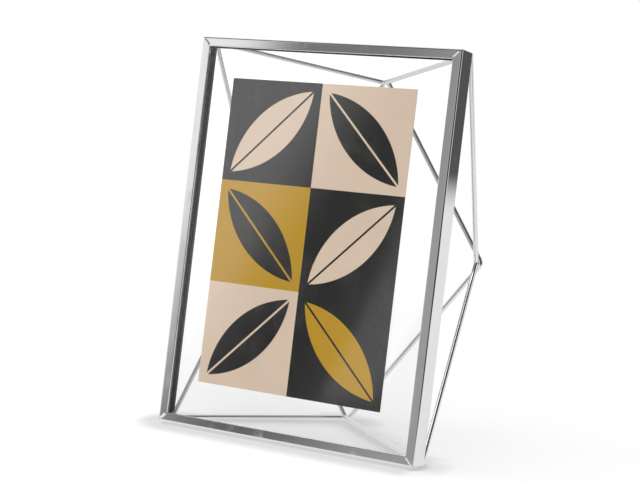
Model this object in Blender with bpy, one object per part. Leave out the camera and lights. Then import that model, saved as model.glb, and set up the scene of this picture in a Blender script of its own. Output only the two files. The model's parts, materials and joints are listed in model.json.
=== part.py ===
"""A metal photo frame: four mitred rails hold two panes with a print between them, on black edge trims,
and a cage of bent wire behind the rails props the frame up on a table.

Everything is drawn standing upright in the frame's own axes: x to the right, y back from the front
face, z up along the rails, with the zero point in the middle of the front face. One empty then leans
the whole frame back until the bottom rail and the lowest bend of the cage both touch the table.
"""
import math

import bmesh
import bpy
from mathutils import Vector

MM = 0.001

# Rails
FRAME_WIDTH = 142.4 * MM
FRAME_HEIGHT = 194.3 * MM
RAIL_FACE = 4.7 * MM            # width of a rail seen from the front
RAIL_DEPTH = 11.9 * MM          # front to back
RAIL_WEB = 1.5 * MM             # outer wall of a rail
FRONT_LIP = 0.9 * MM            # thickness of the lip in front of the glass
REAR_LIP = 0.9 * MM             # thickness of the lip behind the glass
REAR_LIP_EDGE = 3.7 * MM        # its inner edge, from the outer face
FRONT_ARRIS = 0.9 * MM          # rounding of the outer front edge
INNER_ARRIS = 0.35 * MM         # rounding of the front edge towards the glass
REAR_ARRIS = 0.5 * MM           # rounding of the outer rear edge
MITRE_ARRIS = 0.12 * MM         # edge broken along each mitre
CLEARANCE = 0.3 * MM            # between separate pieces that touch

# Glass and print
GLASS_THICKNESS = 2.5 * MM
GLASS_ARRIS = 0.25 * MM         # ground edge of a pane
PANE_SIDE_PLAY = 1.0 * MM       # edge of a pane to the web beside it
PANE_TOP_SINK = 0.8 * MM        # top edge of a pane under the upper face of the top rail
SLOT_CLEARANCE = 0.2 * MM       # panes to the long walls of the loading slot
TRIM_FLANGE = 0.35 * MM         # black edge trim between the rear pane and the rear lip
TRIM_RIB_HEIGHT = 0.15 * MM     # rib of the trim that bears on the pane
TRIM_RIB_WIDTH = 0.6 * MM
TRIM_RIB_INSET = 3.3 * MM       # middle of the rib, from the rail's outer face
PRINT_WIDTH = 101.6 * MM
PRINT_HEIGHT = 152.4 * MM
PRINT_THICKNESS = 0.25 * MM
PRINT_RIGHT = -1.3 * MM         # the print was laid in a little to the left
PRINT_UP = 1.35 * MM            # and a little high

# Corner angles behind the rear lips
KEY_LEG = 14.0 * MM
KEY_THICKNESS = 1.4 * MM
KEY_HEIGHT = 1.8 * MM
KEY_ARRIS = 0.2 * MM

# Wire cage
WIRE_DIAMETER = 2.5 * MM
WIRE_SIDES = 24
FOOT_INSET = 1.45 * MM          # wire centre in from the outline at a corner
FOOT_DEPTH = 13.0 * MM          # wire centre behind the front face there
BEND_DEPTH = 67.5 * MM          # mid bends of the four corner wires behind the front face
BEND_INSET_ENDS = 9.9 * MM      # mid bends of the top and bottom wires in from the outline
BEND_INSET_SIDES = 9.2 * MM     # mid bends of the left and right wires in from the outline
CORNER_WIRE_BEND = 2.5 * MM     # bend radii, to the wire's centre
DIAMOND_BEND_ENDS = 1.8 * MM
DIAMOND_BEND_SIDES = 3.0 * MM
DIAMOND_BACK = 2.8 * MM         # the diamond lies this far behind the mid bends
DIAMOND_OUT = 1.8 * MM          # and this far outside them

BEND_STEPS = 8
ARRIS_STEPS = 5

PANES_FRONT = FRONT_LIP + CLEARANCE
PRINT_FRONT = PANES_FRONT + GLASS_THICKNESS + CLEARANCE
REAR_PANE_FRONT = PRINT_FRONT + PRINT_THICKNESS + CLEARANCE
PANES_BACK = REAR_PANE_FRONT + GLASS_THICKNESS
RIB_FRONT = PANES_BACK + CLEARANCE
TRIM_FRONT = RIB_FRONT + TRIM_RIB_HEIGHT
TRIM_BACK = TRIM_FRONT + TRIM_FLANGE
CHANNEL_BACK = TRIM_BACK + CLEARANCE
LIP_BACK = CHANNEL_BACK + REAR_LIP
WIRE_RADIUS = WIRE_DIAMETER / 2
DIAMOND_DEPTH = BEND_DEPTH + DIAMOND_BACK
DIAMOND_HALF_HEIGHT = FRAME_HEIGHT / 2 - BEND_INSET_ENDS + DIAMOND_OUT
DIAMOND_HALF_WIDTH = FRAME_WIDTH / 2 - BEND_INSET_SIDES + DIAMOND_OUT

for old in list(bpy.data.objects):
    bpy.data.objects.remove(old, do_unlink=True)


def material(name, colour, roughness, metallic, transmission=0.0):
    """A Principled material."""
    made = bpy.data.materials.new(name)
    made.use_nodes = True
    shader = made.node_tree.nodes["Principled BSDF"]
    shader.inputs["Base Color"].default_value = (*colour, 1.0)
    shader.inputs["Roughness"].default_value = roughness
    shader.inputs["Metallic"].default_value = metallic
    shader.inputs["Transmission Weight"].default_value = transmission
    return made


def solid(name, bm, finish, parent, location=(0, 0, 0), turn=0.0):
    """Makes an object of a mesh under construction, turned about y and set in the frame's axes."""
    bmesh.ops.recalc_face_normals(bm, faces=bm.faces)
    mesh = bpy.data.meshes.new(name)
    bm.to_mesh(mesh)
    bm.free()
    mesh.shade_smooth()
    mesh.set_sharp_from_angle(angle=math.radians(35))
    mesh.materials.append(finish)
    made = bpy.data.objects.new(name, mesh)
    bpy.context.collection.objects.link(made)
    made.parent = parent
    made.location = location
    made.rotation_euler = (0, turn, 0)
    return made


def block(size, arris):
    """A box about its own centre, with its edges broken."""
    bm = bmesh.new()
    bmesh.ops.create_cube(bm, size=1.0)
    bmesh.ops.scale(bm, vec=size, verts=bm.verts)
    if arris > 0:
        bmesh.ops.bevel(bm, geom=bm.edges[:], offset=arris, segments=1, affect='EDGES')
    return bm


def arc(centre, radius, start, end):
    """Points of an arc in a section, with its angles in degrees."""
    angles = [math.radians(start + (end - start) * step / ARRIS_STEPS) for step in range(ARRIS_STEPS + 1)]
    return [(centre[0] + radius * math.cos(a), centre[1] + radius * math.sin(a)) for a in angles]


def rail_section():
    """Outline of a rail as pairs: in from the outer face, and back from the front face."""
    outline = arc((FRONT_ARRIS, FRONT_ARRIS), FRONT_ARRIS, 180, 270)
    outline += arc((RAIL_FACE - INNER_ARRIS, INNER_ARRIS), INNER_ARRIS, 270, 360)
    outline += [(RAIL_FACE, FRONT_LIP), (RAIL_WEB, FRONT_LIP)]
    outline += [(RAIL_WEB, CHANNEL_BACK), (REAR_LIP_EDGE, CHANNEL_BACK)]
    outline += [(REAR_LIP_EDGE, LIP_BACK), (RAIL_WEB, LIP_BACK), (RAIL_WEB, RAIL_DEPTH)]
    outline += arc((REAR_ARRIS, RAIL_DEPTH - REAR_ARRIS), REAR_ARRIS, 90, 180)
    return outline


def trim_section():
    """Outline of an edge trim, in the same pairs: a ribbed flange and a lip round the rear lip's edge."""
    outer = RAIL_WEB + CLEARANCE
    hook = REAR_LIP_EDGE + CLEARANCE
    rib = TRIM_RIB_WIDTH / 2
    outline = [(outer, TRIM_FRONT), (TRIM_RIB_INSET - rib, TRIM_FRONT)]
    outline += [(TRIM_RIB_INSET - rib / 2, RIB_FRONT), (TRIM_RIB_INSET + rib / 2, RIB_FRONT)]
    outline += [(TRIM_RIB_INSET + rib, TRIM_FRONT), (RAIL_FACE, TRIM_FRONT)]
    outline += [(RAIL_FACE, LIP_BACK), (hook, LIP_BACK), (hook, TRIM_BACK), (outer, TRIM_BACK)]
    return outline


def mitred_bar(length, outline, arris):
    """A bar of this section along x, mitred at both ends, with the rail's outer face on top at z = 0."""
    half = length / 2 - CLEARANCE / math.sqrt(2)
    bm = bmesh.new()
    ends = [[bm.verts.new((side * (half - inward), back, -inward)) for inward, back in outline]
            for side in (-1, 1)]
    count = len(outline)
    for i in range(count):
        j = (i + 1) % count
        bm.faces.new((ends[0][i], ends[0][j], ends[1][j], ends[1][i]))
    caps = [bm.faces.new(end) for end in ends]
    rims = list({edge for cap in caps for edge in cap.edges})
    if arris > 0:
        bmesh.ops.bevel(bm, geom=rims, offset=arris, segments=1, affect='EDGES')
    return bm


def corner_key():
    """An angle of flat bar, its outer corner at the zero point, with one leg along +x and one down."""
    outline = [(0, 0), (KEY_LEG, 0), (KEY_LEG, -KEY_THICKNESS), (KEY_THICKNESS, -KEY_THICKNESS),
               (KEY_THICKNESS, -KEY_LEG), (0, -KEY_LEG)]
    bm = bmesh.new()
    face = bm.faces.new([bm.verts.new((x, 0, z)) for x, z in outline])
    grown = bmesh.ops.extrude_face_region(bm, geom=[face])
    moved = [item for item in grown["geom"] if isinstance(item, bmesh.types.BMVert)]
    bmesh.ops.translate(bm, verts=moved, vec=(0, KEY_HEIGHT, 0))
    bmesh.ops.recalc_face_normals(bm, faces=bm.faces)
    bmesh.ops.bevel(bm, geom=bm.edges[:], offset=KEY_ARRIS, segments=1, affect='EDGES')
    return bm


def bend(before, corner, after, radius):
    """Points of a round bend of a wire's centre line at a corner."""
    inward = (before - corner).normalized()
    onward = (after - corner).normalized()
    half_angle = inward.angle(onward) / 2
    middle = (inward + onward).normalized()
    centre = corner + middle * radius / math.sin(half_angle)
    first = corner + inward * radius / math.tan(half_angle) - centre
    last = corner + onward * radius / math.tan(half_angle) - centre
    return [centre + first.slerp(last, step / BEND_STEPS) * radius for step in range(BEND_STEPS + 1)]


def bent_wire(points, normal, closed=False):
    """A round wire along points that lie in the plane with this normal."""
    count = len(points)
    bm = bmesh.new()
    rings = []
    for i, point in enumerate(points):
        back = points[i - 1] if i > 0 or closed else 2 * point - points[i + 1]
        ahead = points[(i + 1) % count] if i < count - 1 or closed else 2 * point - points[i - 1]
        arriving = (point - back).normalized()
        leaving = (ahead - point).normalized()
        along = (arriving + leaving).normalized()
        across = along.cross(normal).normalized() / math.cos(arriving.angle(leaving) / 2)
        turns = [2 * math.pi * side / WIRE_SIDES for side in range(WIRE_SIDES)]
        rings.append([bm.verts.new(point + WIRE_RADIUS * (math.cos(a) * normal + math.sin(a) * across))
                      for a in turns])
    for i in range(count if closed else count - 1):
        here, there = rings[i], rings[(i + 1) % count]
        for side in range(WIRE_SIDES):
            other = (side + 1) % WIRE_SIDES
            bm.faces.new((here[side], here[other], there[other], there[side]))
    if not closed:
        bm.faces.new(rings[0])
        bm.faces.new(rings[-1])
    return bm


def trim(bm, point, normal):
    """Cuts off what lies beyond a plane and closes the cut."""
    everything = bm.verts[:] + bm.edges[:] + bm.faces[:]
    bmesh.ops.bisect_plane(bm, geom=everything, plane_co=point, plane_no=normal, clear_outer=True)
    bmesh.ops.holes_fill(bm, edges=[edge for edge in bm.edges if edge.is_boundary])


def corner_foot(right, up):
    """Where the centre lines of two cage wires meet behind a corner of the rails."""
    return Vector((right * (FRAME_WIDTH / 2 - FOOT_INSET), FOOT_DEPTH, up * (FRAME_HEIGHT / 2 - FOOT_INSET)))


def mid_bend(right, up):
    """The sharp corner of a cage wire's centre line behind the middle of a rail."""
    return Vector((right * (FRAME_WIDTH / 2 - BEND_INSET_SIDES), BEND_DEPTH,
                   up * (FRAME_HEIGHT / 2 - BEND_INSET_ENDS)))


def corner_wire(right, up):
    """A cage wire from corner to corner behind the rail on the side that right and up give."""
    middle = mid_bend(right, up)
    spread = (0, 1) if right else (1, 0)
    corners = [(right or end * spread[0], up or end * spread[1]) for end in (-1, 1)]
    feet = [corner_foot(*corner) for corner in corners]
    run_on = 3 * WIRE_DIAMETER
    ends = [foot + (foot - middle).normalized() * run_on for foot in feet]
    points = [ends[0]] + bend(feet[0], middle, feet[1], CORNER_WIRE_BEND) + [ends[1]]
    normal = (feet[0] - middle).cross(feet[1] - middle).normalized()
    bm = bent_wire(points, normal)
    trim(bm, Vector((0, RAIL_DEPTH + CLEARANCE, 0)), Vector((0, -1, 0)))
    for corner, foot in zip(corners, feet):
        trim(bm, Vector((corner[0] * FRAME_WIDTH / 2, 0, 0)), Vector((corner[0], 0, 0)))
        trim(bm, Vector((0, 0, corner[1] * FRAME_HEIGHT / 2)), Vector((0, 0, corner[1])))
        neighbour = mid_bend(corner[0] - right, corner[1] - up)
        beyond = ((neighbour - foot).normalized() - (middle - foot).normalized()).normalized()
        trim(bm, foot - beyond * CLEARANCE / 2, beyond)
    return bm


def diamond_wire():
    """The closed wire behind the four mid bends."""
    corners = [Vector((right * DIAMOND_HALF_WIDTH, DIAMOND_DEPTH, up * DIAMOND_HALF_HEIGHT))
               for right, up in ((0, 1), (1, 0), (0, -1), (-1, 0))]
    points = []
    for i, corner in enumerate(corners):
        radius = DIAMOND_BEND_SIDES if i % 2 else DIAMOND_BEND_ENDS
        points += bend(corners[i - 1], corner, corners[(i + 1) % 4], radius)
    return bent_wire(points, Vector((0, 1, 0)), closed=True)


def diamond_tip():
    """Height of the diamond's top and bottom bends, to the wire's centre."""
    half_angle = math.atan2(DIAMOND_HALF_WIDTH, DIAMOND_HALF_HEIGHT)
    return DIAMOND_HALF_HEIGHT - DIAMOND_BEND_ENDS * (1 / math.sin(half_angle) - 1)


def lean():
    """Angle at which the rear edge of the bottom rail and the diamond's lowest bend are level."""
    behind = DIAMOND_DEPTH - (RAIL_DEPTH - REAR_ARRIS)
    above = FRAME_HEIGHT / 2 - REAR_ARRIS - diamond_tip()
    return math.atan2(above, behind) - math.asin((WIRE_RADIUS - REAR_ARRIS) / math.hypot(above, behind))


def stand():
    """The empty that leans the frame back on the table, with its zero point under the middle."""
    angle = lean()
    sine, cosine = math.sin(angle), math.cos(angle)
    bottom = ((RAIL_DEPTH - REAR_ARRIS) * sine + (FRAME_HEIGHT / 2 - REAR_ARRIS) * cosine + REAR_ARRIS)
    front = FRONT_ARRIS * cosine - (FRAME_HEIGHT / 2 - FRONT_ARRIS) * sine - FRONT_ARRIS
    back = DIAMOND_DEPTH * cosine + diamond_tip() * sine + WIRE_RADIUS
    made = bpy.data.objects.new("stand", None)
    bpy.context.collection.objects.link(made)
    made.location = (0, -(front + back) / 2, bottom)
    made.rotation_euler = (-angle, 0, 0)
    return made


chrome = material("polished_metal", (0.80, 0.80, 0.81), 0.06, 1.0)
steel = material("bright_steel", (0.62, 0.62, 0.63), 0.3, 1.0)
glass = material("clear_glass", (0.96, 0.98, 0.98), 0.02, 0.0, transmission=1.0)
paper = material("print_paper", (0.73, 0.61, 0.48), 0.45, 0.0)
rubber = material("black_rubber", (0.02, 0.02, 0.02), 0.6, 0.0)

frame = stand()

# Rails, turned about y so that each outer face looks outward, with an edge trim in all but the bottom one
quarter = math.pi / 2
sides = (("top", FRAME_WIDTH, 0, 1), ("right", FRAME_HEIGHT, 1, 0),
         ("bottom", FRAME_WIDTH, 0, -1), ("left", FRAME_HEIGHT, -1, 0))
for turns, (name, length, right, up) in enumerate(sides):
    outer_face = (right * FRAME_WIDTH / 2, 0, up * FRAME_HEIGHT / 2)
    bar = mitred_bar(length, rail_section(), MITRE_ARRIS)
    solid("rail_" + name, bar, chrome, frame, outer_face, turns * quarter)
    if name != "bottom":
        trim_bar = mitred_bar(length, trim_section(), 0)
        solid("edge_trim_" + name, trim_bar, rubber, frame, outer_face, turns * quarter)

# Panes, which stand in the channel and reach up into the loading slot
pane_width = FRAME_WIDTH - 2 * (RAIL_WEB + PANE_SIDE_PLAY)
pane_bottom = -FRAME_HEIGHT / 2 + RAIL_WEB + CLEARANCE
pane_top = FRAME_HEIGHT / 2 - PANE_TOP_SINK
pane_size = (pane_width, GLASS_THICKNESS, pane_top - pane_bottom)
pane_height = (pane_top + pane_bottom) / 2
for name, pane_front in (("front_glass", PANES_FRONT), ("rear_glass", REAR_PANE_FRONT)):
    pane_centre = (0, pane_front + GLASS_THICKNESS / 2, pane_height)
    solid(name, block(pane_size, GLASS_ARRIS), glass, frame, pane_centre)

# Print, held between the panes
print_size = (PRINT_WIDTH, PRINT_THICKNESS, PRINT_HEIGHT)
print_centre = (PRINT_RIGHT, PRINT_FRONT + PRINT_THICKNESS / 2, PRINT_UP)
solid("photo_print", block(print_size, 0), paper, frame, print_centre)

# Loading slot through the web of the top rail
panes_depth = PANES_BACK - PANES_FRONT
slot_size = (pane_width + 2 * CLEARANCE, panes_depth + 2 * SLOT_CLEARANCE, 3 * RAIL_WEB)
slot_centre = (0, PANES_FRONT + panes_depth / 2, FRAME_HEIGHT / 2)
slot = solid("loading_slot_cutter", block(slot_size, 0), steel, frame, slot_centre)
slot.hide_render = True
slot.display_type = 'WIRE'
cut = bpy.data.objects["rail_top"].modifiers.new("loading slot", 'BOOLEAN')
cut.operation = 'DIFFERENCE'
cut.solver = 'EXACT'
cut.object = slot

# Corner angles in the recess behind the rear lips
key_in = RAIL_WEB + CLEARANCE
key_depth = LIP_BACK + CLEARANCE
key_right = FRAME_WIDTH / 2 - key_in
key_up = FRAME_HEIGHT / 2 - key_in
corners = (("top_left", -1, 1), ("top_right", 1, 1), ("bottom_right", 1, -1), ("bottom_left", -1, -1))
for place, (name, right, up) in enumerate(corners):
    position = (right * key_right, key_depth, up * key_up)
    solid("corner_key_" + name, corner_key(), steel, frame, position, place * quarter)

# Cage wires, one behind each rail, and the diamond behind their bends
for name, length, right, up in sides:
    solid("cage_wire_" + name, corner_wire(right, up), chrome, frame)
solid("cage_diamond", diamond_wire(), chrome, frame)
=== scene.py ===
import json
import math

import bmesh
import bpy
from mathutils import Matrix, Vector


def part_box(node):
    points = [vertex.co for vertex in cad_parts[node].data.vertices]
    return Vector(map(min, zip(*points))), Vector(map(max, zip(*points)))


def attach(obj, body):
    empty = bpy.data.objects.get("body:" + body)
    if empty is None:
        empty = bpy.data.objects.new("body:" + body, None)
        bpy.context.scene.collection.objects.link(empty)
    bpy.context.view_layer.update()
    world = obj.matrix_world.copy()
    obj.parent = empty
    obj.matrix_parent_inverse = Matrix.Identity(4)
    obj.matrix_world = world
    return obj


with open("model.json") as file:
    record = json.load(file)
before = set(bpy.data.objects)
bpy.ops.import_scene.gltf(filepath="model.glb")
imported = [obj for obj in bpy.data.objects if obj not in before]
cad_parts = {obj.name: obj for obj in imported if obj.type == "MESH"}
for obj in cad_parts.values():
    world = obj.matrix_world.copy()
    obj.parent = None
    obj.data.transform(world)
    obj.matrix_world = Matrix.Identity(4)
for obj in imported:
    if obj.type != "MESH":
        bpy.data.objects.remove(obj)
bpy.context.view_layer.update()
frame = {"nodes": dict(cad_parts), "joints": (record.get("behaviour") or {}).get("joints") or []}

# Rails: four lengths of rolled steel channel, mitred, brazed, polished and then plated to a mirror. The flat
# faces reflect the studio like glass, with the faint waviness, polishing lines and finger smears of real plate.
MM = 0.001
FRONT_PANE_MIDDLE = Vector((0, 2.45, 0.5))
PLATE_COLOUR = (0.80, 0.80, 0.81)
PLATE_DULLED = 0.965
PLATE_CLOUD_SIZE = 40
PLATE_CLOUD_EDGE = (0.3, 0.7)
PLATE_ROUGHNESS = 0.035
SMEAR_SIZE = 9
SMEAR_STRETCH = (1, 1, 1.6)
SMEAR_EDGE = (0.52, 0.72)
SMEAR_ROUGHNESS = 0.07
PLATE_WAVE_LENGTH = 22
PLATE_WAVE_HEIGHT = 0.006
POLISH_LINE_WIDTH = 0.35
POLISH_LINE_HEIGHT = 0.00012
POLISH_LINE_ROUGHNESS = 0.02
LINES_ACROSS = (60, 1, 1)
LINES_UPRIGHT = (1, 1, 60)
SHARP_EDGE_ANGLE = 35
RAIL_FLAT_AREA = 0.000005
JOIN_REACH = 0.00001

# The frame leans back on its cage, and the panes slide along the lean. Sizes and places below are those of the
# upright frame: millimetres to the right, back from the front face, and up from the middle.
slide = Vector(frame["joints"][0]["axis"]).normalized()
upright = Matrix((Vector((1, 0, 0)), slide.cross((1, 0, 0)), slide)).transposed()
lean_angle = math.atan2(slide.y, slide.z)
pane_low, pane_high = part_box("front_glass")
middle = (pane_low + pane_high) / 2 - upright @ FRONT_PANE_MIDDLE * MM


class Shade:
    """A socket of a material's nodes, so that shader maths reads as a sum, such as 1 - mask."""

    def __init__(self, tree, out=None):
        self.tree = tree
        self.out = out

    def node(self, kind, settings=None, sockets=None, output=0):
        """Adds a node, sets it, fills its sockets with values or links, and gives one of its outputs."""
        made = self.tree.nodes.new("ShaderNode" + kind)
        for name, value in (settings or {}).items():
            setattr(made, name, value)
        for name, value in (sockets or {}).items():
            if isinstance(value, Shade):
                self.tree.links.new(value.out, made.inputs[name])
            else:
                made.inputs[name].default_value = value
        return Shade(self.tree, made.outputs[output])

    def maths(self, operation, *others):
        """A Math node with this socket first and the others after it."""
        return self.node("Math", {"operation": operation}, dict(enumerate((self, *others))))

    def __add__(self, other):
        return self.maths("ADD", other)

    def __sub__(self, other):
        return self.maths("SUBTRACT", other)

    def __mul__(self, other):
        return self.maths("MULTIPLY", other)

    def __truediv__(self, other):
        return self.maths("DIVIDE", other)

    def __rsub__(self, other):
        return self.node("Math", {"operation": "SUBTRACT"}, {0: other, 1: self})

    __radd__ = __add__
    __rmul__ = __mul__

    def between(self, start, end):
        """0 up to start and 1 from end on, with a soft step from one to the other."""
        limits = {"Value": self, "From Min": start, "From Max": end}
        return self.node("MapRange", {"interpolation_type": "SMOOTHSTEP"}, limits)

    def along(self, start, end):
        """A number from start, where this is 0, to end, where it is 1."""
        return start + self * (end - start)

    def blend(self, low, high):
        """A colour from low, where this is 0, to high, where it is 1. A Mix node takes colours at 6 and 7."""
        return self.node("Mix", {"data_type": "RGBA"}, {"Factor": self, 6: colour(low), 7: colour(high)}, 2)

    def numbers(self):
        """The three numbers of a vector."""
        return [self.node("SeparateXYZ", None, {0: self}, axis) for axis in "XYZ"]


def colour(value):
    """A colour with its fourth number, or a link as it is."""
    return value if isinstance(value, Shade) else (*value, 1.0)


def new_finish(name, **constants):
    """A material with its Principled shader's constants set, and a Shade to build its nodes on."""
    made = bpy.data.materials.new(name)
    made.use_nodes = True
    shader = made.node_tree.nodes["Principled BSDF"]
    for socket, value in constants.items():
        shader.inputs[socket.replace("_", " ")].default_value = value
    return made, Shade(made.node_tree)


def feed(material, socket, shade):
    """Links a value or colour into the material's Principled shader."""
    material.node_tree.links.new(shade.out, material.node_tree.nodes["Principled BSDF"].inputs[socket])


def feed_bump(material, height):
    """Links a height in millimetres into the material's Principled shader as a bump."""
    feed(material, "Normal", height.node("Bump", None, {"Strength": 1.0, "Distance": MM, "Height": height}))


def upright_place(nodes):
    """A point's place on the upright frame, in millimetres."""
    sockets = {"Vector": nodes.node("TexCoord", output="Object"), "Scale": (1 / MM, 1 / MM, 1 / MM),
               "Rotation": (lean_angle, 0, 0), "Location": -(upright.transposed() @ middle) / MM}
    return nodes.node("Mapping", None, sockets)


def noise(nodes, size, stretch=(1, 1, 1), detail=2.0):
    """Cloudy noise with clouds of this size in millimetres, drawn out along the axes by stretch."""
    scale = tuple(1 / (size * times) for times in stretch)
    scaled = nodes.node("VectorMath", {"operation": "MULTIPLY"}, {0: upright_place(nodes), 1: scale})
    return nodes.node("TexNoise", None, {"Vector": scaled, "Scale": 1.0, "Detail": detail}, "Fac")


def mirror_plate(name, line_stretch):
    """Bright plate over polished steel, with its polishing lines drawn out along the axes."""
    made, nodes = new_finish(name, Metallic=1.0)
    smear = noise(nodes, SMEAR_SIZE, SMEAR_STRETCH, 3.0).between(*SMEAR_EDGE)
    lines = noise(nodes, POLISH_LINE_WIDTH, line_stretch, 1.0)
    waves = noise(nodes, PLATE_WAVE_LENGTH, detail=0.0)
    clouds = noise(nodes, PLATE_CLOUD_SIZE).between(*PLATE_CLOUD_EDGE)
    dulled = tuple(PLATE_DULLED * part for part in PLATE_COLOUR)
    feed(made, "Base Color", clouds.blend(dulled, PLATE_COLOUR))
    feed(made, "Roughness", PLATE_ROUGHNESS + smear * SMEAR_ROUGHNESS + lines * POLISH_LINE_ROUGHNESS)
    feed_bump(made, waves * PLATE_WAVE_HEIGHT + lines * POLISH_LINE_HEIGHT)
    return made


def dress(node_name, *materials, flat_above=0.01):
    """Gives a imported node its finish, and joins its faces so that round stretches shade round.

    Faces that are this much larger than the ones beside them, in square metres, keep their flat shading.
    """
    node = frame["nodes"][node_name]
    if "custom_normal" in node.data.attributes:
        node.data.attributes.remove(node.data.attributes["custom_normal"])
    node.data.shade_smooth()
    node.data.materials.clear()
    for material in materials:
        node.data.materials.append(material)
    joined = node.modifiers.new("join faces", "WELD")
    joined.merge_threshold = JOIN_REACH
    parted = node.modifiers.new("keep sharp edges", "EDGE_SPLIT")
    parted.split_angle = math.radians(SHARP_EDGE_ANGLE)
    weighted = node.modifiers.new("keep flats flat", "WEIGHTED_NORMAL")
    weighted.weight = 100
    weighted.thresh = flat_above
    return node


plate_across = mirror_plate("mirror_plate_across", LINES_ACROSS)
plate_upright = mirror_plate("mirror_plate_upright", LINES_UPRIGHT)
for side, plate in (("top", plate_across), ("right", plate_upright),
                    ("bottom", plate_across), ("left", plate_upright)):
    dress("rail_" + side, plate, flat_above=RAIL_FLAT_AREA)


# Mitre seams: the hair of brazing metal that fills each mitre and holds two rails together. It was filed to a
# low crown across the front faces and plated with them, and shows as a fine line from corner to corner.
FRAME_WIDTH = 142.4
FRAME_HEIGHT = 194.3
RAIL_FACE = 4.7
RAIL_DEPTH = 11.9
RAIL_WEB = 1.5
LIP = 0.9
FRONT_ARRIS = 0.9
SEAM_THICKNESS = 0.26
SEAM_SINK = 0.05
CROWN_HALF_WIDTH = 0.8
CROWN_HEIGHT = 0.085
CROWN_SINK = 0.002
CROWN_STATIONS = (  # how far in from the outer faces, and the share of the crown's height and width there
    (1.0, 0, 0.15), (1.55, 1, 0.9), (3.85, 1, 1), (4.2, 0, 1))
BRAZE_DARK = (0.72, 0.72, 0.72)
BRAZE_LIGHT = (0.86, 0.86, 0.86)
BRAZE_ROUGHNESS = (0.08, 0.16)
BRAZE_GRAIN_SIZE = 0.8
BRAZE_GRAIN_EDGE = (0.3, 0.7)
BRAZE_GRAIN_HEIGHT = 0.002
lean = Matrix.Translation(middle) @ upright.to_4x4()


def add(name, bm, body, slot, *materials, angle=40):
    """Leans a mesh drawn upright in millimetres back into place, and makes it a piece that rides on a body."""
    bmesh.ops.transform(bm, matrix=lean @ Matrix.Scale(MM, 4), verts=bm.verts)
    bmesh.ops.recalc_face_normals(bm, faces=bm.faces)
    mesh = bpy.data.meshes.new(name)
    bm.to_mesh(mesh)
    bm.free()
    mesh.shade_smooth()
    mesh.set_sharp_from_angle(angle=math.radians(angle))
    for material in materials:
        mesh.materials.append(material)
    piece = bpy.data.objects.new(name, mesh)
    bpy.context.scene.collection.objects.link(piece)
    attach(piece, body)


def arc(centre, radius, start, end, steps=6):
    """Points of an arc, with its angles in degrees."""
    turns = [math.radians(start + (end - start) * step / steps) for step in range(steps + 1)]
    return [(centre[0] + radius * math.cos(turn), centre[1] + radius * math.sin(turn)) for turn in turns]


def seam_section():
    """The front and outer wall of the rails' section: pairs, in from the outer and back from the front face."""
    sink = SEAM_SINK
    outline = arc((FRONT_ARRIS, FRONT_ARRIS), FRONT_ARRIS - sink, 180, 270)
    outline += [(RAIL_FACE - sink, sink), (RAIL_FACE - sink, LIP - sink), (RAIL_WEB - sink, LIP - sink)]
    outline += [(RAIL_WEB - sink, RAIL_DEPTH - sink), (sink, RAIL_DEPTH - sink)]
    return outline


def join_rings(bm, rings):
    """Closes the first and last ring of points with a face and joins each ring to the next."""
    bm.faces.new(rings[0])
    bm.faces.new(rings[-1])
    for near, away in zip(rings, rings[1:]):
        for i in range(len(near)):
            j = (i + 1) % len(near)
            bm.faces.new((near[i], near[j], away[j], away[i]))


def on_mitre(bm, right, up, inward, shift, back):
    """A point near the mitre of one corner: inward from both outer faces, and shifted across the mitre."""
    return bm.verts.new((right * (FRAME_WIDTH / 2 - max(inward + shift, SEAM_SINK)), back,
                         up * (FRAME_HEIGHT / 2 - max(inward - shift, SEAM_SINK))))


braze_finish, braze_nodes = new_finish("brazed_plate", Metallic=1.0)
braze_grain = noise(braze_nodes, BRAZE_GRAIN_SIZE, detail=3.0)
feed(braze_finish, "Base Color", braze_grain.between(*BRAZE_GRAIN_EDGE).blend(BRAZE_DARK, BRAZE_LIGHT))
feed(braze_finish, "Roughness", braze_grain.along(*BRAZE_ROUGHNESS))
feed_bump(braze_finish, braze_grain * BRAZE_GRAIN_HEIGHT)

CORNERS = (("top_left", -1, 1), ("top_right", 1, 1), ("bottom_right", 1, -1), ("bottom_left", -1, -1))
for corner, right, up in CORNERS:
    bm = bmesh.new()
    half = SEAM_THICKNESS / 2 / math.sqrt(2)
    join_rings(bm, [[on_mitre(bm, right, up, inward, shift, back) for inward, back in seam_section()]
                    for shift in (-half, half)])
    half = CROWN_HALF_WIDTH / math.sqrt(2)
    join_rings(bm, [[on_mitre(bm, right, up, inward, across * width * half,
                              CROWN_SINK - proud * rise * CROWN_HEIGHT)
                     for across, proud in ((-1, 0), (0, 1), (1, 0), (0, -1))]
                    for inward, rise, width in CROWN_STATIONS])
    add("mitre_seam_" + corner, bm, "frame", "polished_metal", braze_finish, angle=3)


# Edge trims: black rubber hooked round the rear lips at the top and both sides, with a small rib towards the
# rear pane that keeps the glass from rattling. They show through the panes as a black line inside the rails.
RUBBER_BLACK = (0.006, 0.006, 0.006)
RUBBER_DUST = (0.016, 0.016, 0.015)
RUBBER_ROUGHNESS = (0.5, 0.75)
DUST_SIZE = 1.6
DUST_EDGE = (0.45, 0.8)
RUBBER_GRAIN_SIZE = 0.25
RUBBER_GRAIN_HEIGHT = 0.03
rubber, rubber_nodes = new_finish("black_rubber", Specular_IOR_Level=0.35)
rubber_dust = noise(rubber_nodes, DUST_SIZE, detail=4.0).between(*DUST_EDGE)
rubber_grain = noise(rubber_nodes, RUBBER_GRAIN_SIZE)
feed(rubber, "Base Color", rubber_dust.blend(RUBBER_BLACK, RUBBER_DUST))
feed(rubber, "Roughness", rubber_grain.along(*RUBBER_ROUGHNESS))
feed_bump(rubber, rubber_grain * RUBBER_GRAIN_HEIGHT)
for side in ("top", "right", "left"):
    dress("edge_trim_" + side, rubber)


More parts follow.
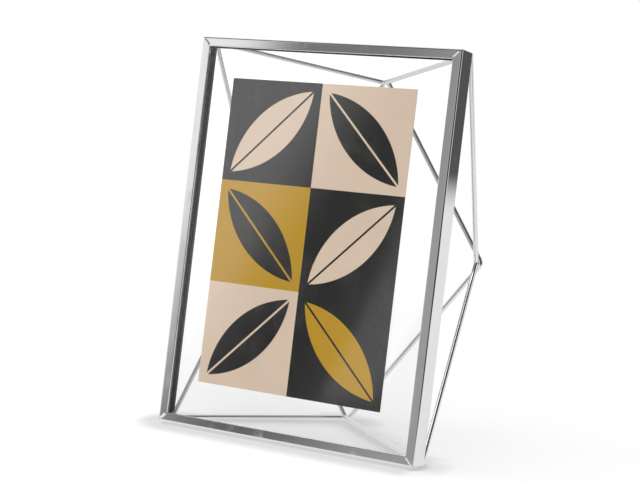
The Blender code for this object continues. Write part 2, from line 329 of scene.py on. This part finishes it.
# Panes: two sheets of clear float glass with ground edges, standing in the channel one behind the other and
# dropped in through the slot in the top rail. Lamps shine through them on to the print.
GLASS_CLEAR = (1.0, 1.0, 1.0)
GLASS_HAZE = (0.985, 0.985, 0.985)
HAZE_SIZE = 26
HAZE_STRETCH = (1, 1, 1.4)
HAZE_EDGE = (0.55, 0.8)
HAZE_ROUGHNESS = 0.012
EDGE_TINT = (0.62, 0.80, 0.74)
EDGE_TINT_PALE = (0.75, 0.88, 0.84)
EDGE_ROUGHNESS = (0.35, 0.6)
EDGE_GRAIN_SIZE = 0.3
EDGE_GRAIN_HEIGHT = 0.04
PANE_TURN = 1.5
PANE_BOW = 0.0053
PANE_TWIST = 0.0233
FACING = 0.9


def glass_edges(node):
    """Gives the faces that look sideways out of the pane's edge the second material."""
    faces_back = upright.col[1]
    for face in node.data.polygons:
        face.material_index = 0 if abs(face.normal.dot(faces_back)) > FACING else 1


def pane_lie(nodes):
    """The height, in millimetres, of panes and print that lie a little turned, bowed and twisted.

    The three values are turns of the reflection, in degrees, so the glass itself turns by half of them.
    """
    right, _, up = upright_place(nodes).numbers()
    return (right * PANE_TURN - right * right * PANE_BOW + right * up * PANE_TWIST) * math.radians(0.5)


clear_glass, glass_nodes = new_finish("clear_glass", IOR=1.5, Transmission_Weight=1.0)
glass_haze = noise(glass_nodes, HAZE_SIZE, HAZE_STRETCH, 3.0).between(*HAZE_EDGE)
feed(clear_glass, "Base Color", glass_haze.blend(GLASS_CLEAR, GLASS_HAZE))
feed(clear_glass, "Roughness", glass_haze * HAZE_ROUGHNESS)
feed_bump(clear_glass, pane_lie(glass_nodes))
ground_edge, edge_nodes = new_finish("ground_glass_edge", IOR=1.5, Transmission_Weight=0.7)
edge_grain = noise(edge_nodes, EDGE_GRAIN_SIZE, detail=3.0)
feed(ground_edge, "Base Color", edge_grain.blend(EDGE_TINT, EDGE_TINT_PALE))
feed(ground_edge, "Roughness", edge_grain.along(*EDGE_ROUGHNESS))
feed_bump(ground_edge, edge_grain * EDGE_GRAIN_HEIGHT)
for pane in ("front_glass", "rear_glass"):
    glass_edges(dress(pane, clear_glass, ground_edge))
    frame["nodes"][pane].visible_shadow = False
    frame["nodes"][pane].visible_diffuse = False


# Print: a 4 by 6 inch sheet of coated card held between the panes, with clear glass all round it. The picture
# is a plain pattern of leaves in square tiles, in cream, charcoal and mustard, and the back is bare card.
PRINT_WIDTH = 101.6
PRINT_HEIGHT = 152.4
PRINT_RIGHT = -1.3
PRINT_UP = 1.35
TILE = PRINT_WIDTH / 2
TILE_EDGE = 0.001
LEAF_EDGE = (0.918, 0.922)
VEIN_EDGE = (0.012, 0.016)
CREAM = (0.84, 0.665, 0.51)
CHARCOAL = (0.008, 0.0075, 0.007)
MUSTARD = (0.585, 0.328, 0.006)
TILES = ((CHARCOAL, CREAM), (CREAM, CHARCOAL),
         (MUSTARD, CHARCOAL), (CHARCOAL, CREAM),
         (CREAM, CHARCOAL), (CHARCOAL, MUSTARD))
WORN_INK = (0.30, 0.27, 0.24)
WEAR_SIZE = 14
WEAR_STRETCH = (1, 1, 1.3)
WEAR_EDGE = (0.42, 0.75)
WEAR_FADE = 0.05
SPECKLE_SIZE = 0.5
SPECKLE_EDGE = (0.55, 0.8)
SPECKLE_FADE = 0.014
PRINT_ROUGHNESS = (0.10, 0.18)
CARD_GRAIN_SIZE = 0.35
CARD_GRAIN_HEIGHT = 0.0006
BARE_CARD_DARK = (0.76, 0.75, 0.72)
BARE_CARD_LIGHT = (0.84, 0.83, 0.81)
FIBRE_SIZE = 0.8
FIBRE_STRETCH = (3, 1, 1)
FIBRE_HEIGHT = 0.01


def leaf(a, b):
    """1 inside a leaf drawn by two quarter circles from corner to corner of a tile, 0 outside."""
    from_start = (a * a + b * b).maths("SQRT")
    from_end = ((1 - a) * (1 - a) + (1 - b) * (1 - b)).maths("SQRT")
    return 1 - from_start.maths("MAXIMUM", from_end).between(*LEAF_EDGE)


picture, ink = new_finish("printed_card", Specular_IOR_Level=0.5)
ink_right, _, ink_up = upright_place(ink).numbers()
column = (ink_right - (PRINT_RIGHT - PRINT_WIDTH / 2)) / TILE
row = ((PRINT_UP + PRINT_HEIGHT / 2) - ink_up) / TILE
second_column = column.between(1 - TILE_EDGE, 1 + TILE_EDGE)
second_row = row.between(1 - TILE_EDGE, 1 + TILE_EDGE)
third_row = row.between(2 - TILE_EDGE, 2 + TILE_EDGE)

# Every other tile has its leaf turned over, so that each leaf leans away from those beside it.
across = column.maths("FRACT")
down = row.maths("FRACT")
turned_over = (second_row - third_row + second_column).maths("PINGPONG", 1.0)
across = across + turned_over * (1 - 2 * across)
inside = leaf(across, down)
on_vein = 1 - (across - (1 - down)).maths("ABSOLUTE").between(*VEIN_EDGE)
in_column = (1 - second_column, second_column)
in_row = (1 - second_row, second_row, third_row)
ground, motif = TILES[0]
for number, (ground_colour, motif_colour) in enumerate(TILES[1:], 1):
    here = in_column[number % 2] * in_row[number // 2]
    ground = here.blend(ground, ground_colour)
    motif = here.blend(motif, motif_colour)
picture_colour = (inside - inside * on_vein).blend(ground, motif)
wear = noise(ink, WEAR_SIZE, WEAR_STRETCH, 5.0).between(*WEAR_EDGE)
speckle = noise(ink, SPECKLE_SIZE).between(*SPECKLE_EDGE)
faded = wear * WEAR_FADE + speckle * SPECKLE_FADE
feed(picture, "Base Color", faded.blend(picture_colour, WORN_INK))
feed(picture, "Roughness", wear.along(*PRINT_ROUGHNESS))
feed_bump(picture, pane_lie(ink) + noise(ink, CARD_GRAIN_SIZE) * CARD_GRAIN_HEIGHT)

bare_card, card_nodes = new_finish("bare_card", Roughness=0.6)
fibres = noise(card_nodes, FIBRE_SIZE, FIBRE_STRETCH, 4.0)
feed(bare_card, "Base Color", fibres.blend(BARE_CARD_DARK, BARE_CARD_LIGHT))
feed_bump(bare_card, fibres * FIBRE_HEIGHT)
print_node = dress("photo_print", picture, bare_card)
for face in print_node.data.polygons:
    face.material_index = 0 if face.normal.dot(upright.col[1]) < -FACING else 1


# Corner angles: small lengths of mild steel angle in the recess behind the rear lips, one to each mitre, brazed
# to both rails to keep the frame square.
STEEL_BRIGHT = (0.62, 0.62, 0.63)
STEEL_STAIN = (0.44, 0.43, 0.42)
STEEL_ROUGHNESS = 0.24
STAIN_SIZE = 5
STAIN_EDGE = (0.4, 0.7)
STAIN_ROUGHNESS = 0.12
ROLLED_LINE_SIZE = 0.25
ROLLED_LINE_STRETCH = (1, 30, 1)
ROLLED_LINE_HEIGHT = 0.01
ROLLED_LINE_ROUGHNESS = 0.2
key_steel, key_nodes = new_finish("bright_steel", Metallic=1.0)
key_lines = noise(key_nodes, ROLLED_LINE_SIZE, ROLLED_LINE_STRETCH)
key_stain = noise(key_nodes, STAIN_SIZE, detail=3.0).between(*STAIN_EDGE)
feed(key_steel, "Base Color", key_stain.blend(STEEL_BRIGHT, STEEL_STAIN))
key_roughness = STEEL_ROUGHNESS + key_lines * ROLLED_LINE_ROUGHNESS + key_stain * STAIN_ROUGHNESS
feed(key_steel, "Roughness", key_roughness)
feed_bump(key_steel, key_lines * ROLLED_LINE_HEIGHT)
for corner, _, _ in CORNERS:
    dress("corner_key_" + corner, key_steel)


# Cage wires: four lengths of 2.5 mm steel wire, each bent once and brazed to two corners of the rails, and a
# closed diamond of the same wire behind their bends. All of it is plated with the rails.
WIRE_LINES = (6, 6, 6)
wire_plate = mirror_plate("mirror_plate_wire", WIRE_LINES)
for side in ("top", "right", "bottom", "left"):
    dress("cage_wire_" + side, wire_plate)
dress("cage_diamond", wire_plate)


# Brazed joints: a small bead of brazing metal behind each corner, where two wire ends meet the rails, and one
# between each bend of the wires and the diamond. They were plated with the wires and look a little softer.
WIRE_FOOT = (69.75, 12.5, 95.7)
FOOT_BEAD = (1.3, 0.85, 1.3)
END_BEND = (0, 68.6, 87.55)
END_BEAD = (2.4, 1.45, 1.1)
SIDE_BEND = (62.6, 68.7, 0)
SIDE_BEAD = (1.1, 1.45, 2.4)
BEAD_LUMP = 0.06


def braze_bead(name, place, size):
    """A lumpy drop of metal with these half sizes."""
    bm = bmesh.new()
    bmesh.ops.create_icosphere(bm, subdivisions=3, radius=1.0)
    for vert in bm.verts:
        lump = 1 + BEAD_LUMP * math.sin(4 * vert.co.x + 3 * vert.co.z) * math.cos(3 * vert.co.y)
        vert.co = Vector([centre + half * part * lump for centre, half, part in zip(place, size, vert.co)])
    add(name, bm, "frame", "polished_metal", braze_finish)


for corner, right, up in CORNERS:
    braze_bead("foot_bead_" + corner, (right * WIRE_FOOT[0], WIRE_FOOT[1], up * WIRE_FOOT[2]), FOOT_BEAD)
for side, away in (("top", 1), ("bottom", -1)):
    braze_bead("bend_bead_" + side, (END_BEND[0], END_BEND[1], away * END_BEND[2]), END_BEAD)
for side, away in (("right", 1), ("left", -1)):
    braze_bead("bend_bead_" + side, (away * SIDE_BEND[0], SIDE_BEND[1], SIDE_BEND[2]), SIDE_BEAD)


# Room: a white studio that the polished plate mirrors from every side. It has dark gaps between its soft boxes
# and lights the frame less from behind. Through glass it is seen lighter by PANE_LOSS, which makes up for what
# the panes take. Azimuths run from the front to the right, and these and the elevations are in degrees.
PANE_LOSS = 1.2
ROOM_LIGHT = 0.72
BACK_OF_ROOM = 0.4
ROOM_SHADES = (  # left, right and how soft, then low, high and how soft, and the level there
    (16, 100, 6, -90, 100, 10, 0.05),
    (84, 152, 6, 38, 100, 5, 0.15),
    (-92, 30, 6, 28, 100, 3, 0.13),
    (138, 166, 4, -90, 38, 4, 0.10),
)
BACK_STARTS = (-0.2, 0.5)
FRONT_GAP_LEFT = (-33.0, -30.4)
FRONT_GAP_RIGHT = (14, 28)
FRONT_GAP_LEVEL = 0.149
FRONT_GAP_LIFT = 0.005
LEAN_ENDS = 15.0
BOX_EDGE_UPRIGHT = 14
BOX_EDGE_LEAN = 0.17
DIP_AZIMUTH = -30.6
DIP_LEAN = 0.16
RIGHT_OF_DIP = (0, 6.5)
RIGHT_OF_DIP_LEVEL = 0.22
LEFT_OF_DIP = (0, 3.2)
LEFT_OF_DIP_TOP = (2, 9)
LEFT_OF_DIP_LEVEL = 0.15
HIGHER_UP = (16, 24)
HIGHER_UP_LEVEL = 0.1
STRIP_LEFT = (-27.5, -26.7)
STRIP_RIGHT = (-25.1, -24.6)
STRIP_LOW = (0.3, 1.3)
STRIP_HIGH = (6, 9)
STRIP_LEVEL = 0.4


def mirrored_room(azimuth, elevation):
    """How light the room is where the plate mirrors it."""
    level = 1
    for left, right, soft, low, high, soft_height, shade in ROOM_SHADES:
        wide = azimuth.between(left - soft, left + soft) * (1 - azimuth.between(right - soft, right + soft))
        tall = elevation.between(low - soft_height, low + soft_height)
        tall = tall * (1 - elevation.between(high - soft_height, high + soft_height))
        level = level + wide * tall * (shade - level)
    # The gap in front is darkest at one leaning dip. It lightens to the dip's right, and to its left close to
    # the table, darkens again higher up, and has one bright upright strip. The soft box's side leans as well.
    low = elevation.maths("MINIMUM", LEAN_ENDS)
    past_dip = azimuth - DIP_AZIMUTH - low * DIP_LEAN
    front = FRONT_GAP_LEVEL + low * FRONT_GAP_LIFT + past_dip.between(*RIGHT_OF_DIP) * RIGHT_OF_DIP_LEVEL
    near_table = 1 - elevation.between(*LEFT_OF_DIP_TOP)
    front = front + (0 - past_dip).between(*LEFT_OF_DIP) * near_table * LEFT_OF_DIP_LEVEL
    front = front - elevation.between(*HIGHER_UP) * HIGHER_UP_LEVEL
    strip = azimuth.between(*STRIP_LEFT) * (1 - azimuth.between(*STRIP_RIGHT))
    strip = strip * elevation.between(*STRIP_LOW) * (1 - elevation.between(*STRIP_HIGH))
    front = front + strip * STRIP_LEVEL
    box_edge = azimuth + (BOX_EDGE_UPRIGHT - low) * BOX_EDGE_LEAN
    in_front = box_edge.between(*FRONT_GAP_LEFT) * (1 - azimuth.between(*FRONT_GAP_RIGHT))
    return level + in_front * (front - level)


def light_paths(nodes):
    """1 for a ray that sees the room, for one through glass, and for one that metal or glass has mirrored."""
    by_camera = nodes.node("LightPath", output="Is Camera Ray")
    by_glass = nodes.node("LightPath", output="Is Transmission Ray")
    by_glossy = nodes.node("LightPath", output="Is Glossy Ray")
    bounces = nodes.node("LightPath", output="Glossy Depth")
    mirrored = by_glossy * bounces.maths("MINIMUM", 1.0)
    seeing = by_camera.maths("MAXIMUM", by_glass).maths("MAXIMUM", mirrored)
    return seeing, by_glass, mirrored


room = bpy.data.worlds.new("studio_room")
room.use_nodes = True
room_nodes = Shade(room.node_tree)
seeing, by_glass, mirrored = light_paths(room_nodes)
east, north, height = room_nodes.node("TexCoord", output="Generated").numbers()
room_azimuth = east.maths("ARCTAN2", 0 - north) * (180 / math.pi)
room_elevation = height.maths("ARCSINE") * (180 / math.pi)
room_level = 1 + by_glass * (PANE_LOSS - 1)
room_level = room_level + mirrored * (mirrored_room(room_azimuth, room_elevation) - room_level)
room_light = ROOM_LIGHT * (1 - north.between(*BACK_STARTS) * (1 - BACK_OF_ROOM))
room_level = room_light + seeing * (room_level - room_light)
room.node_tree.links.new(room_level.out, room.node_tree.nodes["Background"].inputs["Color"])
bpy.context.scene.world = room


# Table: a plain pale floor that fades into the white room and keeps the frame's soft shadow from the lamp, with
# a painted contact shadow besides. Where the plate mirrors it, it ends a short way in front of the frame, and
# the room's gaps begin there.
FLOOR_HALF = 9.0
FLOOR_COLOUR = 0.45
FLOOR_GLOW = 0.62
FLOOR_BOUNCE = 0.8
FADE = (0.22, 0.95)
TABLE_FRONT = (-0.23, -0.17)
TABLE_RIGHT = (0.25, 0.35)
TABLE_BACK = (1.07, 1.77)
TABLE_WIDENS = (0.02, 0.12)
TABLE_WIDER = 0.7
TABLE_MIRRORED = 0.93
GAPS_MEET = (0.37, 0.63)
CONTACT_REACH = 0.016
CONTACT_EDGE = (0.015, 0.08)
CONTACT_SHADE = 0.26
RIGHT_FOOT = (0.066, 0.0735)
FOOT_SHADOW_THINNER = 0.6
FOOT_SHADOW_CORE_EDGE = (0.3, 0.45)
FOOT_SHADOW_CORE = 1.2


def grey(value):
    """A colour without a hue."""
    return value, value, value


floor_mesh = bpy.data.meshes.new("studio_floor")
floor_mesh.from_pydata([(right * FLOOR_HALF, back * FLOOR_HALF, 0) for right, back in
                        ((-1, -1), (1, -1), (1, 1), (-1, 1))], [], [(0, 1, 2, 3)])
floor = bpy.data.objects.new("studio_floor", floor_mesh)
bpy.context.scene.collection.objects.link(floor)
floor_paint, floor_nodes = new_finish("studio_floor", Roughness=0.9, Specular_IOR_Level=0.0,
                                      Emission_Strength=1.0)
seeing, by_glass, mirrored = light_paths(floor_nodes)
spot = floor_nodes.node("TexCoord", output="Object")
spot_x, spot_y, _ = spot.numbers()
far = floor_nodes.node("VectorMath", {"operation": "LENGTH"}, {0: spot}, "Value").between(*FADE)

# Painted contact shadow: an occlusion node darkens the floor's colour and glow near the frame. This painted
# shadow is thinner beside the right foot, with a darker painted core close to it.
covered = 1 - floor_nodes.node("AmbientOcclusion", {"samples": 12}, {"Distance": CONTACT_REACH}, "AO")
by_right_foot = spot_x.between(*RIGHT_FOOT)
contact = covered.between(*CONTACT_EDGE) * (1 - by_right_foot * FOOT_SHADOW_THINNER)
contact = contact + by_right_foot * covered.between(*FOOT_SHADOW_CORE_EDGE) * FOOT_SHADOW_CORE
unshaded = 1 - contact * CONTACT_SHADE
painted = ((1 - far) * unshaded * FLOOR_COLOUR).blend(grey(0), grey(1))
lit_colour = seeing.blend(grey(FLOOR_BOUNCE), painted)
feed(floor_paint, "Base Color", mirrored.blend(lit_colour, grey(0)))

# The plate mirrors the table as evenly pale. Past its edges the room's gaps run on over the floor, out from
# one place behind the frame.
from_meet = spot_x - GAPS_MEET[0]
floor_azimuth = from_meet.maths("ARCTAN2", GAPS_MEET[1] - spot_y) * (180 / math.pi)
past_table = mirrored_room(floor_azimuth, 0 * floor_azimuth)
on_table = spot_y.between(*TABLE_FRONT) * (1 - spot_y.between(*TABLE_BACK))
from_right = spot_x - spot_y.between(*TABLE_WIDENS) * TABLE_WIDER
on_table = on_table * (1 - from_right.between(*TABLE_RIGHT))
table_glow = past_table + on_table * (TABLE_MIRRORED - past_table)
glow = (FLOOR_GLOW + far * (1 + by_glass * (PANE_LOSS - 1) - FLOOR_GLOW)) * unshaded
glow = glow + mirrored * (table_glow - glow)
feed(floor_paint, "Emission Color", seeing * glow)
floor_mesh.materials.append(floor_paint)


# Lamp: one large soft box above the table, a little to the left and in front. It lays the soft shadow to the
# right and back, and isn't mirrored itself.
SOFTBOX_PLACE = (-0.5, -0.3, 1.7)
SOFTBOX_AIM = (0, 0, 0.05)
SOFTBOX_SIZE = 1.3
SOFTBOX_WATTS = 14.5
softbox = bpy.data.lights.new("overhead_softbox", "AREA")
softbox.shape = "SQUARE"
softbox.size = SOFTBOX_SIZE
softbox.energy = SOFTBOX_WATTS
lamp = bpy.data.objects.new("overhead_softbox", softbox)
bpy.context.scene.collection.objects.link(lamp)
lamp.location = SOFTBOX_PLACE
lamp.rotation_euler = (Vector(SOFTBOX_AIM) - Vector(SOFTBOX_PLACE)).to_track_quat("-Z", "Y").to_euler()
lamp.visible_glossy = False


# Camera: at the height of the upright frame's middle, 0.37 m to its right and 0.67 m in front of it, with a
# slight roll.
EYE = (369.702, -668.591, -0.486)
AIM = (9.09, 0.0, -0.43)
SENSOR_WIDTH = 36.0
LENS = 89.254
ROLL = 2.99


def leant(right, back, up):
    """The place in the room of a point on the upright frame."""
    return lean @ (Vector((right, back, up)) * MM)


view = bpy.data.cameras.new("camera")
view.sensor_fit = "HORIZONTAL"
view.sensor_width = SENSOR_WIDTH
view.lens = LENS
camera = bpy.data.objects.new("camera", view)
bpy.context.scene.collection.objects.link(camera)
eye = leant(*EYE)
facing = (leant(*AIM) - eye).to_track_quat("-Z", "Y").to_matrix().to_4x4()
rolled = Matrix.Rotation(math.radians(ROLL), 4, "Z")
camera.matrix_world = Matrix.Translation(eye) @ facing @ rolled
bpy.context.scene.camera = camera
bpy.context.scene.view_settings.view_transform = "Standard"
